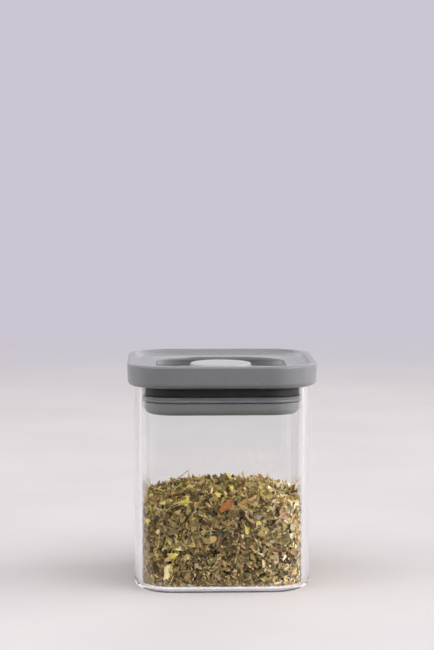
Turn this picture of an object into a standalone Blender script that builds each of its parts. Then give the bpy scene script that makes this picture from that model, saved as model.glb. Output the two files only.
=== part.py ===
# Square glass spice jar with a push-top lid: pressing the button wedges a silicone seal outwards.
# Metres, +Z up. The origin is the centre of the base, and the front looks along -Y.
import math

import bmesh
import bpy
from mathutils import Vector

# Facets of round corners and turned pieces
corner_steps = 8
fillet_steps = 4
round_steps = 48
peg_steps = 20

# Fits
touch_gap = 0.0003            # between pieces that rest on each other
slide_gap = 0.0003            # round a piece that slides or swings
weld_depth = 0.0004           # how deep a boss is rooted in the wall that carries it
cut_overrun = 0.001           # how far a cutter runs past the face that it opens

# Glass jar: every other square outline is this one, grown or shrunk about the same corner centres
jar_half = 0.0333
jar_corner_radius = 0.0153
jar_height = 0.0784
glass_wall = 0.00265
base_thickness = 0.0024
base_fillet = 0.003
inner_fillet = 0.0022
rim_round = 0.001

# Herbs
fill_edge_height = 0.0342
fill_crown_rise = 0.0038
fill_crown_half = 0.006

# Lid cover
lid_overhang = 0.0027         # past the glass on each side
skirt_overlap = 0.001         # how far the skirt hangs below the glass rim
skirt_height = 0.0085
skirt_draft = 0.00025         # the skirt draws in a little towards its foot
skirt_clearance = 0.0005      # to the glass
cover_wall = 0.0016
foot_round = 0.0016
rim_round_outer = 0.0016
rim_land = 0.001
lip_drop = 0.0024             # from the rim down to the lip of the well
dish_width = 0.0108           # from the outside of the lid in to the lip of the well
dish_power = 3.0              # the dish is flat by the well and climbs steeply at the rim
well_corner_radius = 0.0175
well_depth = 0.0023
bowl_run = 0.005

# Button and its stroke
button_radius = 0.0119
button_drop = 0.00205         # the pressed button lies this far below the rim
button_roof = 0.0015
button_wall = 0.0014
button_round = 0.0007
button_dish = 0.0002
button_line_inset = 0.0012
button_line_width = 0.0004
button_line_depth = 0.00025
spigot_length = 0.0018
button_stroke = 0.007
button_overtravel = 0.0008

# Lid liner and its neck inside the mouth
neck_clearance = 0.00135      # to the glass
neck_length = 0.0047
liner_plate = 0.0015
liner_upstand = 0.0011

# Seal ring
seal_height = 0.00205
seal_fit = 0.0003             # lips to glass
seal_lip = 0.0008             # how far the lips stand out of the ring's body
seal_waist = 0.0003
lip_rise_share = 0.28         # height of the lower lip, and the upper one mirrors it

# Plug cup
cup_clearance = 0.00115       # to the glass
cup_wall = 0.0015
cup_fillet = 0.0028
cup_inner_fillet = 0.0013
post_inset = 0.001            # posts stand this far inside the corner centres
post_radius = 0.0024
pin_radius = 0.0012
pin_length = 0.0045

# Expander frame
frame_clearance = 0.0005      # to the cup's wall
frame_taper = 0.0006
frame_rim_wall = 0.0011
frame_foot_wall = 0.0014
frame_rim_drop = 0.0002       # below the top of the seal
arm_width = 0.006
hub_wall = 0.0021

# Cam stem and its guide
stem_half_width = 0.0042
stem_half_depth = 0.0025
stem_flange = 0.0012
stem_foot_wall = 0.0012       # below the track's lowest place
stem_foot_gap = 0.001         # to the cup's floor at the end of the overtravel
guide_wall = 0.0008
guide_drop = 0.0008           # the guide ends this far below the follower pin

# Latch wire and the track that it follows
wire_radius = 0.0004
wire_bend = 0.0007
latch_x = -0.0002
latch_pivot_rise = 0.0015     # above the cup's floor
latch_sweep = 0.0026          # sideways travel of the pin over the whole stroke
wire_clearance = 0.0005       # between the arm and the stem's face
track_depth = 0.0012
track_top_wall = 0.0005       # between the track and the spring flange
press_branch_x = -0.0024
press_branch_top = 0.0006
press_branch_foot = -0.003
lobe_rise = 0.0003
lobe_radius = 0.0004
block_length = 0.0014
block_roof = 0.0008

# Return spring
spring_wire_radius = 0.0004
spring_radius = 0.0071
spring_flange_edge = 0.0004   # the stem's flange reaches this far past the spring
spring_turns = 5.5
spring_steps = 16             # points a turn
end_turn = 0.75               # closed part of a turn at each end
end_pitch = 0.0013            # rise a turn in the closed ends

# Widths that follow
corner_centre = jar_half - jar_corner_radius
jar_inner_half = jar_half - glass_wall
lid_half = jar_half + lid_overhang
lid_half_foot = lid_half - skirt_draft
skirt_inner_half = jar_half + skirt_clearance
dish_half = lid_half - rim_round_outer - rim_land
well_half = lid_half - dish_width
well_corner_centre = well_half - well_corner_radius
liner_half = skirt_inner_half - touch_gap
neck_half = jar_inner_half - neck_clearance
seal_half = jar_inner_half - seal_fit
cup_half = jar_inner_half - cup_clearance
frame_half = cup_half - cup_wall - frame_clearance
frame_foot_half = frame_half - frame_taper
neck_bore_half = frame_half + slide_gap
post_place = corner_centre - post_inset
track_half_width = wire_radius + slide_gap
spigot_wall = button_wall / 2
hub_bore_radius = button_radius - spigot_wall
hub_radius = hub_bore_radius + hub_wall
stem_flange_radius = spring_radius + spring_wire_radius + spring_flange_edge
arm_y = -stem_half_depth - wire_clearance - wire_radius
block_near_y = arm_y - wire_radius - wire_bend
block_far_y = block_near_y - block_length

# Heights that follow, from the glass rim up to the lid and down again through the button
skirt_foot_z = jar_height - skirt_overlap
lid_height = skirt_foot_z + skirt_height
lip_z = lid_height - lip_drop
well_floor_z = lip_z - well_depth
well_under_z = well_floor_z - cover_wall
plate_foot_z = jar_height + touch_gap
neck_foot_z = plate_foot_z - neck_length
seal_top_z = neck_foot_z - touch_gap
seal_foot_z = seal_top_z - seal_height
cup_rim_z = seal_foot_z - touch_gap
button_top_z = lid_height - button_drop
button_under_z = button_top_z - button_roof
stem_top_z = button_under_z - touch_gap
stem_flange_foot_z = stem_top_z - stem_flange
pin_z = stem_flange_foot_z - track_top_wall - track_half_width - button_overtravel
stem_foot_z = pin_z - button_stroke - track_half_width - stem_foot_wall
cup_floor_z = stem_foot_z - button_overtravel - stem_foot_gap
cup_foot_z = cup_floor_z - cup_wall
frame_foot_z = cup_floor_z + button_overtravel + touch_gap + slide_gap
frame_rim_z = seal_top_z - frame_rim_drop
arm_top_z = well_under_z - slide_gap - button_stroke
skirt_step_z = arm_top_z + touch_gap
pivot_z = cup_floor_z + latch_pivot_rise
latch_arm = pin_z - pivot_z
swing = math.asin(latch_sweep / latch_arm)


def clear_scene():
    for item in list(bpy.data.objects):
        bpy.data.objects.remove(item, do_unlink=True)


def material(name, color, roughness, metallic=0.0, transmission=0.0):
    made = bpy.data.materials.new(name)
    made.use_nodes = True
    shader = made.node_tree.nodes["Principled BSDF"]
    shader.inputs["Base Color"].default_value = (*color, 1.0)
    shader.inputs["Roughness"].default_value = roughness
    shader.inputs["Metallic"].default_value = metallic
    shader.inputs["Transmission Weight"].default_value = transmission
    made.diffuse_color = (*color, 1.0)
    return made


def add_object(name, bm, look=None):
    mesh = bpy.data.meshes.new(name)
    bmesh.ops.recalc_face_normals(bm, faces=bm.faces)
    bm.to_mesh(mesh)
    bm.free()
    mesh.shade_smooth()
    mesh.set_sharp_from_angle(angle=math.radians(35))
    item = bpy.data.objects.new(name, mesh)
    bpy.context.collection.objects.link(item)
    if look:
        mesh.materials.append(look)
    return item


def boolean(item, tool, operation):
    """Joins or cuts with a hidden tool object."""
    tool.hide_render = True
    tool.display_type = "WIRE"
    step = item.modifiers.new(tool.name, "BOOLEAN")
    step.operation = operation
    step.solver = "EXACT"
    step.object = tool


def arc(centre_half, centre_z, radius, start, end, steps=fillet_steps):
    """Profile points along an arc, angles in degrees from outwards (0) to upwards (90)."""
    points = []
    for i in range(steps + 1):
        angle = math.radians(start + (end - start) * i / steps)
        points.append((centre_half + radius * math.cos(angle), centre_z + radius * math.sin(angle)))
    return points


def square_ring(half, z, centre=corner_centre):
    """A square of a given half width whose corners are arcs about (centre, centre)."""
    radius = half - centre
    points = []
    for quarter in range(4):
        side_x = (1, -1, -1, 1)[quarter]
        side_y = (1, 1, -1, -1)[quarter]
        for i in range(corner_steps + 1):
            angle = (quarter + i / corner_steps) * math.pi / 2
            x = side_x * centre + radius * math.cos(angle)
            y = side_y * centre + radius * math.sin(angle)
            points.append((x, y, z))
    return points


def round_ring(radius, z, steps=round_steps):
    turn = 2 * math.pi / steps
    return [(radius * math.cos(i * turn), radius * math.sin(i * turn), z) for i in range(steps)]


def loft(rings, closed=False):
    """Skins rings in order. An open stack is capped at both ends, a closed one runs back to its start."""
    bm = bmesh.new()
    loops = [[bm.verts.new(point) for point in ring] for ring in rings]
    following = loops[1:] + loops[:1] if closed else loops[1:]
    for low, high in zip(loops, following):
        for i in range(len(low)):
            j = (i + 1) % len(low)
            bm.faces.new((low[i], low[j], high[j], high[i]))
    if not closed:
        bm.faces.new(list(reversed(loops[0])))
        bm.faces.new(loops[-1])
    return bm


def square_loft(profile, closed=False):
    return loft([square_ring(half, z) for half, z in profile], closed)


def turned(profile, closed=False):
    return loft([round_ring(radius, z) for radius, z in profile], closed)


def add_prism(bm, outline, near, far):
    """Adds a closed prism between two copies of an outline, near and far being functions of a point."""
    low = [bm.verts.new(near(point)) for point in outline]
    high = [bm.verts.new(far(point)) for point in outline]
    for i in range(len(outline)):
        j = (i + 1) % len(outline)
        bm.faces.new((low[i], low[j], high[j], high[i]))
    bm.faces.new(list(reversed(low)))
    bm.faces.new(high)


def add_upright(bm, outline, low_z, high_z):
    """A prism standing on an outline given in X and Y."""
    add_prism(bm, outline, lambda p: (p[0], p[1], low_z), lambda p: (p[0], p[1], high_z))


def add_forward(bm, outline, near_y, far_y):
    """A prism along Y on an outline given in X and Z."""
    add_prism(bm, outline, lambda p: (p[0], near_y, p[1]), lambda p: (p[0], far_y, p[1]))


def disc_outline(x, y, radius, steps=peg_steps):
    turn = 2 * math.pi / steps
    return [(x + radius * math.cos(i * turn), y + radius * math.sin(i * turn)) for i in range(steps)]


def sweep_tube(points, radius, sides=8):
    """A round tube along points, each ring square to the path, with flat ends."""
    path = [Vector(point) for point in points]
    rings = []
    across = Vector((1, 0, 0))
    for i, point in enumerate(path):
        along = (path[min(i + 1, len(path) - 1)] - path[max(i - 1, 0)]).normalized()
        across = (across - along * across.dot(along)).normalized()
        up = along.cross(across)
        turn = 2 * math.pi / sides
        rings.append([
            point + (across * math.cos(k * turn) + up * math.sin(k * turn)) * radius
            for k in range(sides)
        ])
    return loft(rings)


def dish_z(half):
    """Height of the dished top: flat at the well's lip, climbing by a power law to the rim."""
    share = max(0.0, (half - well_half) / (dish_half - well_half))
    return lip_z + lip_drop * min(share, 1.0) ** dish_power


def dish_ring(half, z):
    """Rings of the dish turn from the lid's corner centre to the well's rounder one."""
    share = min(1.0, max(0.0, (half - well_half) / (dish_half - well_half)))
    centre = well_corner_centre + (corner_centre - well_corner_centre) * share
    return square_ring(half, z, centre)


def under_cover_z(place):
    """Height of the cover's underside on the diagonal, at x = y = place inside the well."""
    reach = well_corner_centre + (place - well_corner_centre) * math.sqrt(2)
    share = (reach - well_half + bowl_run) / (bowl_run + cover_wall)
    share = min(1.0, max(0.0, share))
    return lip_z - cover_wall - well_depth * math.sqrt(1 - share ** 2)


def bowl_rings(wall, drop):
    """The well's quarter-elliptic bowl from lip to floor, or its underside a wall further out."""
    rings = []
    for i in range(fillet_steps + 2):
        angle = math.pi / 2 * i / (fillet_steps + 1)
        half = well_half - bowl_run + (bowl_run + wall) * math.cos(angle)
        z = lip_z - drop - well_depth * math.sin(angle)
        rings.append(square_ring(half, z, well_corner_centre))
    return rings


def make_glass_jar(look):
    profile = arc(jar_half - base_fillet, base_fillet, base_fillet, -90, 0)
    profile += arc(jar_half - rim_round, jar_height - rim_round, rim_round, 0, 90)
    profile += arc(jar_inner_half + rim_round, jar_height - rim_round, rim_round, 90, 180)
    inner_centre = base_thickness + inner_fillet
    profile += arc(jar_inner_half - inner_fillet, inner_centre, inner_fillet, 0, -90)
    add_object("glass_jar", square_loft(profile), look)


def make_herb_fill(look):
    """The heap fills the jar's inside from its floor, and swells from the glass to a low crown."""
    half = jar_inner_half - touch_gap
    foot = base_thickness + touch_gap
    profile = arc(half - inner_fillet, foot + inner_fillet, inner_fillet, -90, 0)
    profile.append((half, fill_edge_height))
    for i in range(1, fillet_steps + 1):
        share = i / fillet_steps
        across = half + (fill_crown_half - half) * share
        rise = math.sin(share * math.pi / 2)
        profile.append((across, fill_edge_height + fill_crown_rise * rise))
    rings = [square_ring(across, z, min(corner_centre, across / 2)) for across, z in profile]
    add_object("herb_fill", loft(rings), look)


def make_lid_cover(look):
    inner_top = lid_height - rim_round_outer - cover_wall / 2
    rings = list(reversed(bowl_rings(cover_wall, cover_wall)))
    for share in (0.35, 0.6, 0.82):
        half = well_half + cover_wall + (skirt_inner_half - well_half - cover_wall) * share
        rings.append(dish_ring(half, min(dish_z(half) - cover_wall, inner_top)))
    skirt = [(skirt_inner_half, inner_top), (skirt_inner_half, skirt_foot_z)]
    skirt += arc(lid_half_foot - foot_round, skirt_foot_z + foot_round, foot_round, -90, 0)
    skirt += arc(lid_half - rim_round_outer, lid_height - rim_round_outer, rim_round_outer, 0, 90)
    rings += [square_ring(half, z) for half, z in skirt]
    for share in (1.0, 0.9, 0.78, 0.64, 0.48, 0.25):
        half = well_half + (dish_half - well_half) * share
        rings.append(dish_ring(half, dish_z(half)))
    rings += bowl_rings(0.0, 0.0)
    cover = add_object("lid_cover", loft(rings), look)

    pins = bmesh.new()
    pin_foot_z = well_under_z - pin_length
    pin_root_z = under_cover_z(post_place) + weld_depth
    for x in (-post_place, post_place):
        for y in (-post_place, post_place):
            add_upright(pins, disc_outline(x, y, pin_radius), pin_foot_z, pin_root_z)
    boolean(cover, add_object("cover_pins", pins), "UNION")

    hole = bmesh.new()
    outline = disc_outline(0, 0, button_radius + slide_gap, round_steps)
    add_upright(hole, outline, well_under_z - cut_overrun, lid_height)
    boolean(cover, add_object("button_hole", hole), "DIFFERENCE")


def make_lid_liner(look):
    """A channel-shaped ring: neck inside the mouth, plate over the glass rim, upstand under the cover."""
    plate_top = plate_foot_z + liner_plate
    upstand_bore = liner_half - liner_upstand
    upstand_top = dish_z(upstand_bore) - cover_wall - touch_gap
    wall_top = dish_z(neck_bore_half) - cover_wall - touch_gap
    profile = [
        (neck_bore_half, neck_foot_z),
        (neck_half, neck_foot_z),
        (neck_half, plate_foot_z),
        (liner_half, plate_foot_z),
        (liner_half, upstand_top),
        (upstand_bore, upstand_top),
        (upstand_bore, plate_top),
        (neck_half, plate_top),
        (neck_half, wall_top),
        (neck_bore_half, wall_top),
    ]
    add_object("lid_liner", square_loft(profile, closed=True), look)


def make_seal_ring(look):
    """Two soft lips with a waist between them, on a flat body."""
    lip_rise = seal_height * lip_rise_share
    body_half = seal_half - seal_lip
    bore_half = frame_half + touch_gap
    profile = [
        (bore_half, seal_foot_z),
        (body_half, seal_foot_z),
        (seal_half, seal_foot_z + lip_rise),
        (seal_half - seal_waist, seal_foot_z + seal_height / 2),
        (seal_half, seal_top_z - lip_rise),
        (body_half, seal_top_z),
        (bore_half, seal_top_z),
    ]
    add_object("seal_ring", square_loft(profile, closed=True), look)


def make_plug_cup(look):
    inner_half = cup_half - cup_wall
    profile = arc(cup_half - cup_fillet, cup_foot_z + cup_fillet, cup_fillet, -90, 0)
    profile += [(cup_half, cup_rim_z), (inner_half, cup_rim_z)]
    profile += arc(inner_half - cup_inner_fillet, cup_floor_z + cup_inner_fillet, cup_inner_fillet, 0, -90)
    cup = add_object("plug_cup", square_loft(profile), look)

    bosses = bmesh.new()
    root_z = cup_floor_z - weld_depth
    post_top_z = well_under_z - touch_gap
    places = [(x, y) for x in (-post_place, post_place) for y in (-post_place, post_place)]
    for x, y in places:
        add_upright(bosses, disc_outline(x, y, post_radius), root_z, post_top_z)
    add_upright(bosses, guide_outline(), root_z, pin_z - guide_drop)
    add_forward(bosses, block_outline(root_z), block_near_y, block_far_y)
    boolean(cup, add_object("cup_bosses", bosses), "UNION")

    bores = bmesh.new()
    socket_foot_z = well_under_z - pin_length - touch_gap
    for x, y in places:
        outline = disc_outline(x, y, pin_radius + touch_gap)
        add_upright(bores, outline, socket_foot_z, post_top_z + cut_overrun)
    outline = disc_outline(latch_x, pivot_z, wire_radius + slide_gap)
    add_forward(bores, outline, block_near_y + cut_overrun, block_far_y - cut_overrun)
    boolean(cup, add_object("cup_bores", bores), "DIFFERENCE")


def guide_outline():
    """The stem's guide in plan: a U that is open to the front, where the latch wire stands."""
    inner_x = stem_half_width + slide_gap
    inner_y = stem_half_depth + slide_gap
    outer_x = inner_x + guide_wall
    outer_y = inner_y + guide_wall
    return [
        (-outer_x, -stem_half_depth),
        (-inner_x, -stem_half_depth),
        (-inner_x, inner_y),
        (inner_x, inner_y),
        (inner_x, -stem_half_depth),
        (outer_x, -stem_half_depth),
        (outer_x, outer_y - guide_wall),
        (outer_x - guide_wall, outer_y),
        (guide_wall - outer_x, outer_y),
        (-outer_x, outer_y - guide_wall),
    ]


def block_outline(root_z):
    """The latch bearing from the front: a block with a half-round top about the pivot."""
    top_radius = wire_radius + slide_gap + block_roof
    points = [(latch_x - top_radius, root_z), (latch_x + top_radius, root_z)]
    for i in range(peg_steps // 2 + 1):
        angle = math.pi * i / (peg_steps // 2)
        points.append((latch_x + top_radius * math.cos(angle), pivot_z + top_radius * math.sin(angle)))
    return points


def make_button_cap(look):
    """A cap with a shallow dish, a fine line round its edge, a long skirt and a stepped spigot."""
    inner = button_radius - button_wall
    spigot_outer = hub_bore_radius - slide_gap
    spigot_foot_z = skirt_step_z - spigot_length
    line_outer = button_radius - button_line_inset
    line_inner = line_outer - button_line_width
    profile = [
        (inner / 2, button_top_z - button_dish),
        (line_inner, button_top_z),
        (line_inner, button_top_z - button_line_depth),
        (line_outer, button_top_z - button_line_depth),
        (line_outer, button_top_z),
    ]
    profile += reversed(arc(button_radius - button_round, button_top_z - button_round, button_round, 0, 90))
    profile += [
        (button_radius, skirt_step_z),
        (spigot_outer, skirt_step_z),
        (spigot_outer, spigot_foot_z),
        (spigot_outer - spigot_wall, spigot_foot_z),
        (spigot_outer - spigot_wall, skirt_step_z + spigot_length),
        (inner, skirt_step_z + spigot_length + button_wall),
        (inner, button_under_z),
    ]
    add_object("button_cap", turned(profile), look)


def track_path(rise):
    """Where the pin stands on the stem's face when the button has risen: x and z from its latched place."""
    angle = swing * rise / button_stroke
    return latch_arm * math.sin(angle), -rise - latch_arm * (1 - math.cos(angle))


def hull(points):
    """Convex outline of points in a plane, by the monotone chain."""
    ordered = sorted(points)

    def half_chain(items):
        chain = []
        for p in items:
            while len(chain) > 1 and (
                (chain[-1][0] - chain[-2][0]) * (p[1] - chain[-2][1])
                - (chain[-1][1] - chain[-2][1]) * (p[0] - chain[-2][0])
            ) <= 0:
                chain.pop()
            chain.append(p)
        return chain[:-1]

    return half_chain(ordered) + half_chain(list(reversed(ordered)))


def track_outline():
    """Outer wall of the track: the hull of the places that the pin passes on both branches."""
    free_x, free_z = track_path(button_stroke)
    over_x, over_z = track_path(-button_overtravel)
    stations = [
        (press_branch_x, press_branch_top),
        (press_branch_x, press_branch_foot),
        (over_x, over_z),
        track_path(0),
        track_path(button_stroke / 2),
        (free_x, free_z),
    ]
    points = []
    for x, z in stations:
        points += disc_outline(latch_x + x, pin_z + z, track_half_width)
    return hull(points)


def island_outline():
    """The heart: a high lobe on the press side, the cleft round the latched pin, the release side, the tip."""
    lobe_x = latch_x + press_branch_x + track_half_width + lobe_radius
    lobe_z = pin_z + lobe_rise - lobe_radius
    points = []
    for i in range(fillet_steps + 1):
        angle = math.pi - (math.pi - math.pi / 4) * i / fillet_steps
        points.append((lobe_x + lobe_radius * math.cos(angle), lobe_z + lobe_radius * math.sin(angle)))
    release_angle = math.atan2(*reversed(release_normal(0)))
    start = math.radians(-165)
    for i in range(fillet_steps + 1):
        angle = start + (release_angle - start) * i / fillet_steps
        points.append((latch_x + track_half_width * math.cos(angle), pin_z + track_half_width * math.sin(angle)))
    for share in (0.2, 0.4, 0.6, 0.7):
        x, z = track_path(button_stroke * share)
        normal_x, normal_z = release_normal(button_stroke * share)
        points.append((latch_x + x + normal_x * track_half_width, pin_z + z + normal_z * track_half_width))
    points.append((lobe_x - lobe_radius, pin_z + press_branch_foot + track_half_width / 2))
    return points


def release_normal(rise):
    """Unit normal of the release branch, pointing to the heart's side."""
    step = button_stroke / round_steps
    near = track_path(rise)
    far = track_path(rise + step)
    along = Vector((far[0] - near[0], far[1] - near[1])).normalized()
    return along[1], -along[0]


def make_cam_stem(look):
    """Post and spring flange in one, with the heart-cam track sunk in the front face."""
    stem = add_object("cam_stem", turned([(stem_flange_radius, stem_flange_foot_z),
                                          (stem_flange_radius, stem_top_z)]), look)
    post = bmesh.new()
    outline = [
        (-stem_half_width, -stem_half_depth),
        (stem_half_width, -stem_half_depth),
        (stem_half_width, stem_half_depth),
        (-stem_half_width, stem_half_depth),
    ]
    add_upright(post, outline, stem_foot_z, stem_flange_foot_z + weld_depth)
    boolean(stem, add_object("stem_post", post), "UNION")

    track = bmesh.new()
    floor_y = track_depth - stem_half_depth
    add_forward(track, track_outline(), floor_y, -stem_half_depth - cut_overrun)
    boolean(stem, add_object("cam_track", track), "DIFFERENCE")

    heart = bmesh.new()
    add_forward(heart, island_outline(), floor_y + weld_depth, -stem_half_depth)
    boolean(stem, add_object("cam_heart", heart), "UNION")


def make_expander_frame(look):
    """A thin square rim that flares upwards, carried by four arms on a hub."""
    rim_bore = frame_half - frame_rim_wall
    foot_bore = frame_foot_half - frame_foot_wall
    profile = [
        (foot_bore, frame_foot_z),
        (frame_foot_half, frame_foot_z),
        (frame_half, frame_rim_z),
        (rim_bore, frame_rim_z),
        (rim_bore, arm_top_z + touch_gap),
        (foot_bore, arm_top_z),
    ]
    frame = add_object("expander_frame", square_loft(profile, closed=True), look)

    spider = bmesh.new()
    tip = foot_bore + weld_depth
    side = arm_width / 2
    outline = []
    for quarter in range(4):
        angle = quarter * math.pi / 2
        for x, y in ((side, -tip), (side, -side)):
            outline.append((
                x * math.cos(angle) - y * math.sin(angle),
                x * math.sin(angle) + y * math.cos(angle),
            ))
            if y == -tip:
                continue
            outline.append((
                tip * math.cos(angle) + side * math.sin(angle),
                tip * math.sin(angle) - side * math.cos(angle),
            ))
    add_upright(spider, outline, frame_foot_z, arm_top_z)
    boolean(frame, add_object("frame_arms", spider), "UNION")

    hub = bmesh.new()
    add_upright(hub, disc_outline(0, 0, hub_radius, round_steps), frame_foot_z, arm_top_z)
    boolean(frame, add_object("frame_hub", hub), "UNION")

    bore = bmesh.new()
    outline = disc_outline(0, 0, hub_bore_radius, round_steps)
    add_upright(bore, outline, frame_foot_z - cut_overrun, arm_top_z + cut_overrun)
    boolean(frame, add_object("hub_bore", bore), "DIFFERENCE")


def make_return_spring(look):
    """A helix whose end turns climb slowly and whose middle turns share the rest of the height."""
    foot = cup_floor_z + touch_gap + spring_wire_radius
    top = stem_flange_foot_z - touch_gap - spring_wire_radius
    middle_pitch = (top - foot - 2 * end_turn * end_pitch) / (spring_turns - 2 * end_turn)
    points = []
    count = round(spring_turns * spring_steps)
    for i in range(count + 1):
        turns = i / spring_steps
        low = min(turns, end_turn)
        high = max(0.0, turns - (spring_turns - end_turn))
        middle = turns - low - high
        z = foot + (low + high) * end_pitch + middle * middle_pitch
        angle = turns * 2 * math.pi
        points.append((spring_radius * math.cos(angle), spring_radius * math.sin(angle), z))
    gaps = [
        (Vector(points[i + spring_steps]) - Vector(points[i])).length - 2 * spring_wire_radius
        for i in range(count + 1 - spring_steps)
    ]
    print(f"return spring: least gap between turns {min(gaps) * 1000:.2f} mm")
    add_object("return_spring", sweep_tube(points, spring_wire_radius), look)


def make_latch_wire(look):
    """Foot in the bearing block, arm up the stem's face, pin bent back into the track."""
    pin_tip_y = track_depth - stem_half_depth - slide_gap
    points = [(latch_x, block_far_y + touch_gap, pivot_z)]
    for i in range(fillet_steps + 1):
        angle = math.pi / 2 * i / fillet_steps
        y = arm_y - wire_bend + wire_bend * math.sin(angle)
        points.append((latch_x, y, pivot_z + wire_bend * (1 - math.cos(angle))))
    for i in range(fillet_steps + 1):
        angle = math.pi / 2 * i / fillet_steps
        y = arm_y + wire_bend * (1 - math.cos(angle))
        points.append((latch_x, y, pin_z - wire_bend + wire_bend * math.sin(angle)))
    points.append((latch_x, pin_tip_y, pin_z))
    add_object("latch_wire", sweep_tube(points, wire_radius, 10), look)


def build():
    clear_scene()
    lid_grey = (0.2, 0.205, 0.215)
    make_glass_jar(material("clear_glass", (0.95, 0.97, 0.97), 0.02, transmission=1.0))
    make_herb_fill(material("dried_herbs", (0.29, 0.24, 0.08), 0.9))
    make_lid_cover(material("cover_plastic", lid_grey, 0.42))
    make_lid_liner(material("liner_plastic", (0.1, 0.1, 0.105), 0.5))
    make_seal_ring(material("seal_silicone", (0.13, 0.13, 0.135), 0.6))
    make_plug_cup(material("cup_plastic", (0.16, 0.16, 0.165), 0.45))
    make_button_cap(material("button_plastic", (0.6, 0.6, 0.62), 0.4))
    make_cam_stem(material("stem_plastic", (0.75, 0.75, 0.72), 0.35))
    make_expander_frame(material("frame_plastic", (0.7, 0.7, 0.68), 0.4))
    make_return_spring(material("spring_steel", (0.6, 0.6, 0.6), 0.25, metallic=1.0))
    make_latch_wire(material("latch_steel", (0.55, 0.55, 0.56), 0.3, metallic=1.0))


build()
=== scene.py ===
# Square spice jar with a push-top lid, dressed for the photo: clear glass, crushed herbs, grey satin lid.
# Metres throughout, +Z up, the front looks along -Y.
import math

import bpy
import numpy as np
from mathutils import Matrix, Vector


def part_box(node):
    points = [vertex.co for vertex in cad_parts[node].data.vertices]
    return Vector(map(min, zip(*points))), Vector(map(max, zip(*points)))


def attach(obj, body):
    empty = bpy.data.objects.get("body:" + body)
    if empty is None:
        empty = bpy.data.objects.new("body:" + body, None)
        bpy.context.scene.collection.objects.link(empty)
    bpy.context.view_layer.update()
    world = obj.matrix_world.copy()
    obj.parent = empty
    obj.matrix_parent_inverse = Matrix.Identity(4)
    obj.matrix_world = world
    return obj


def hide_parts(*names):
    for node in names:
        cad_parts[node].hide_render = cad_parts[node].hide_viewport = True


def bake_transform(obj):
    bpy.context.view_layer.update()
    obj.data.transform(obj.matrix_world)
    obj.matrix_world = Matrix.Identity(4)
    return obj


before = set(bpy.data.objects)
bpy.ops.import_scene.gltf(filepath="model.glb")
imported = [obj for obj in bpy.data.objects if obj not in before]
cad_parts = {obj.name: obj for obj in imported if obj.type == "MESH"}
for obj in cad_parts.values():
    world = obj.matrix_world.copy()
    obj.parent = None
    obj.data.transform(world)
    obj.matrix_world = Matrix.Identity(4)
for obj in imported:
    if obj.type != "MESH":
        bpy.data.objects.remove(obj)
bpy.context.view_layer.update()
print("frame loaded:", ", ".join(sorted(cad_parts)))

mm = 0.001
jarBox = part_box("glass_jar")
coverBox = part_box("lid_cover")
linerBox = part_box("lid_liner")
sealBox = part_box("seal_ring")
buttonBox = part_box("button_cap")
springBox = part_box("return_spring")
cornerCentre = 18.0 * mm  # every square outline turns its corners about (18, 18)
cornerSigns = np.array([(1, 1), (-1, 1), (-1, -1), (1, -1)], float)
toNextCorner = np.roll(cornerSigns, -1, 0) - cornerSigns
poleHalf = 2 * mm  # half width of the last ring round the middle of a floor or heap
tiny = 1e-9  # keeps a length that is divided by above nought


# Shapes are grids: rows run along a profile, columns run round it.


def squareColumns(cornerSteps, sideSteps):
    # once round a square: at each corner a quarter turn of unit normals, then a straight run to the next;
    # a point of any outline is centre * anchor + (half - centre) * normal
    quarter = np.arange(4)[:, None]
    turn = (quarter + np.linspace(0, 1, cornerSteps + 1)[None, :]) * np.pi / 2
    arcNormal = np.stack([np.cos(turn), np.sin(turn)], -1)
    arcAnchor = np.repeat(cornerSigns[:, None, :], cornerSteps + 1, 1)
    share = np.linspace(0, 1, sideSteps + 1)[1:-1][None, :, None]
    runAnchor = cornerSigns[:, None, :] + toNextCorner[:, None, :] * share
    runNormal = np.repeat(arcNormal[:, -1:, :], sideSteps - 1, 1)
    anchor = np.concatenate([arcAnchor, runAnchor], 1).reshape(-1, 2)
    normal = np.concatenate([arcNormal, runNormal], 1).reshape(-1, 2)
    return anchor, normal


def withHeights(plan, profile):
    # a plan of rows and columns, each row at its own height
    height = np.broadcast_to(profile[:, 1][:, None, None], plan.shape[:2] + (1,))
    return np.concatenate([plan, height], 2)


def squareGrid(profile, centre=cornerCentre, roundness=0.0, cornerSteps=20, sideSteps=12):
    # profile rows of (half width, height) become rounded squares; roundness 1 turns a row into a circle
    anchor, normal = squareColumns(cornerSteps, sideSteps)
    half = profile[:, 0][:, None, None]
    centre = np.broadcast_to(centre, len(profile))[:, None, None]
    roundness = np.broadcast_to(roundness, len(profile))[:, None, None]
    square = centre * anchor + (half - centre) * normal
    circle = half * square / np.linalg.norm(square, axis=2, keepdims=True)
    return withHeights(square + (circle - square) * roundness, profile)


def turnedGrid(profile, steps):
    # profile rows of (radius, height) swept once round the Z axis
    turn = np.arange(steps) * 2 * np.pi / steps
    ring = np.stack([np.cos(turn), np.sin(turn)], -1)[None]
    return withHeights(profile[:, 0][:, None, None] * ring, profile)


def tubeGrid(path, radius, aside, sides=12):
    # circles of one radius, each square to the path; aside is a direction that the path never takes
    along = np.gradient(path, axis=0)
    along /= np.linalg.norm(along, axis=1, keepdims=True)
    first = np.cross(aside, along)
    first /= np.linalg.norm(first, axis=1, keepdims=True)
    second = np.cross(along, first)
    turn = (np.arange(sides) * 2 * np.pi / sides)[None, :, None]
    return path[:, None] + radius * (np.cos(turn) * first[:, None] + np.sin(turn) * second[:, None])


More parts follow.
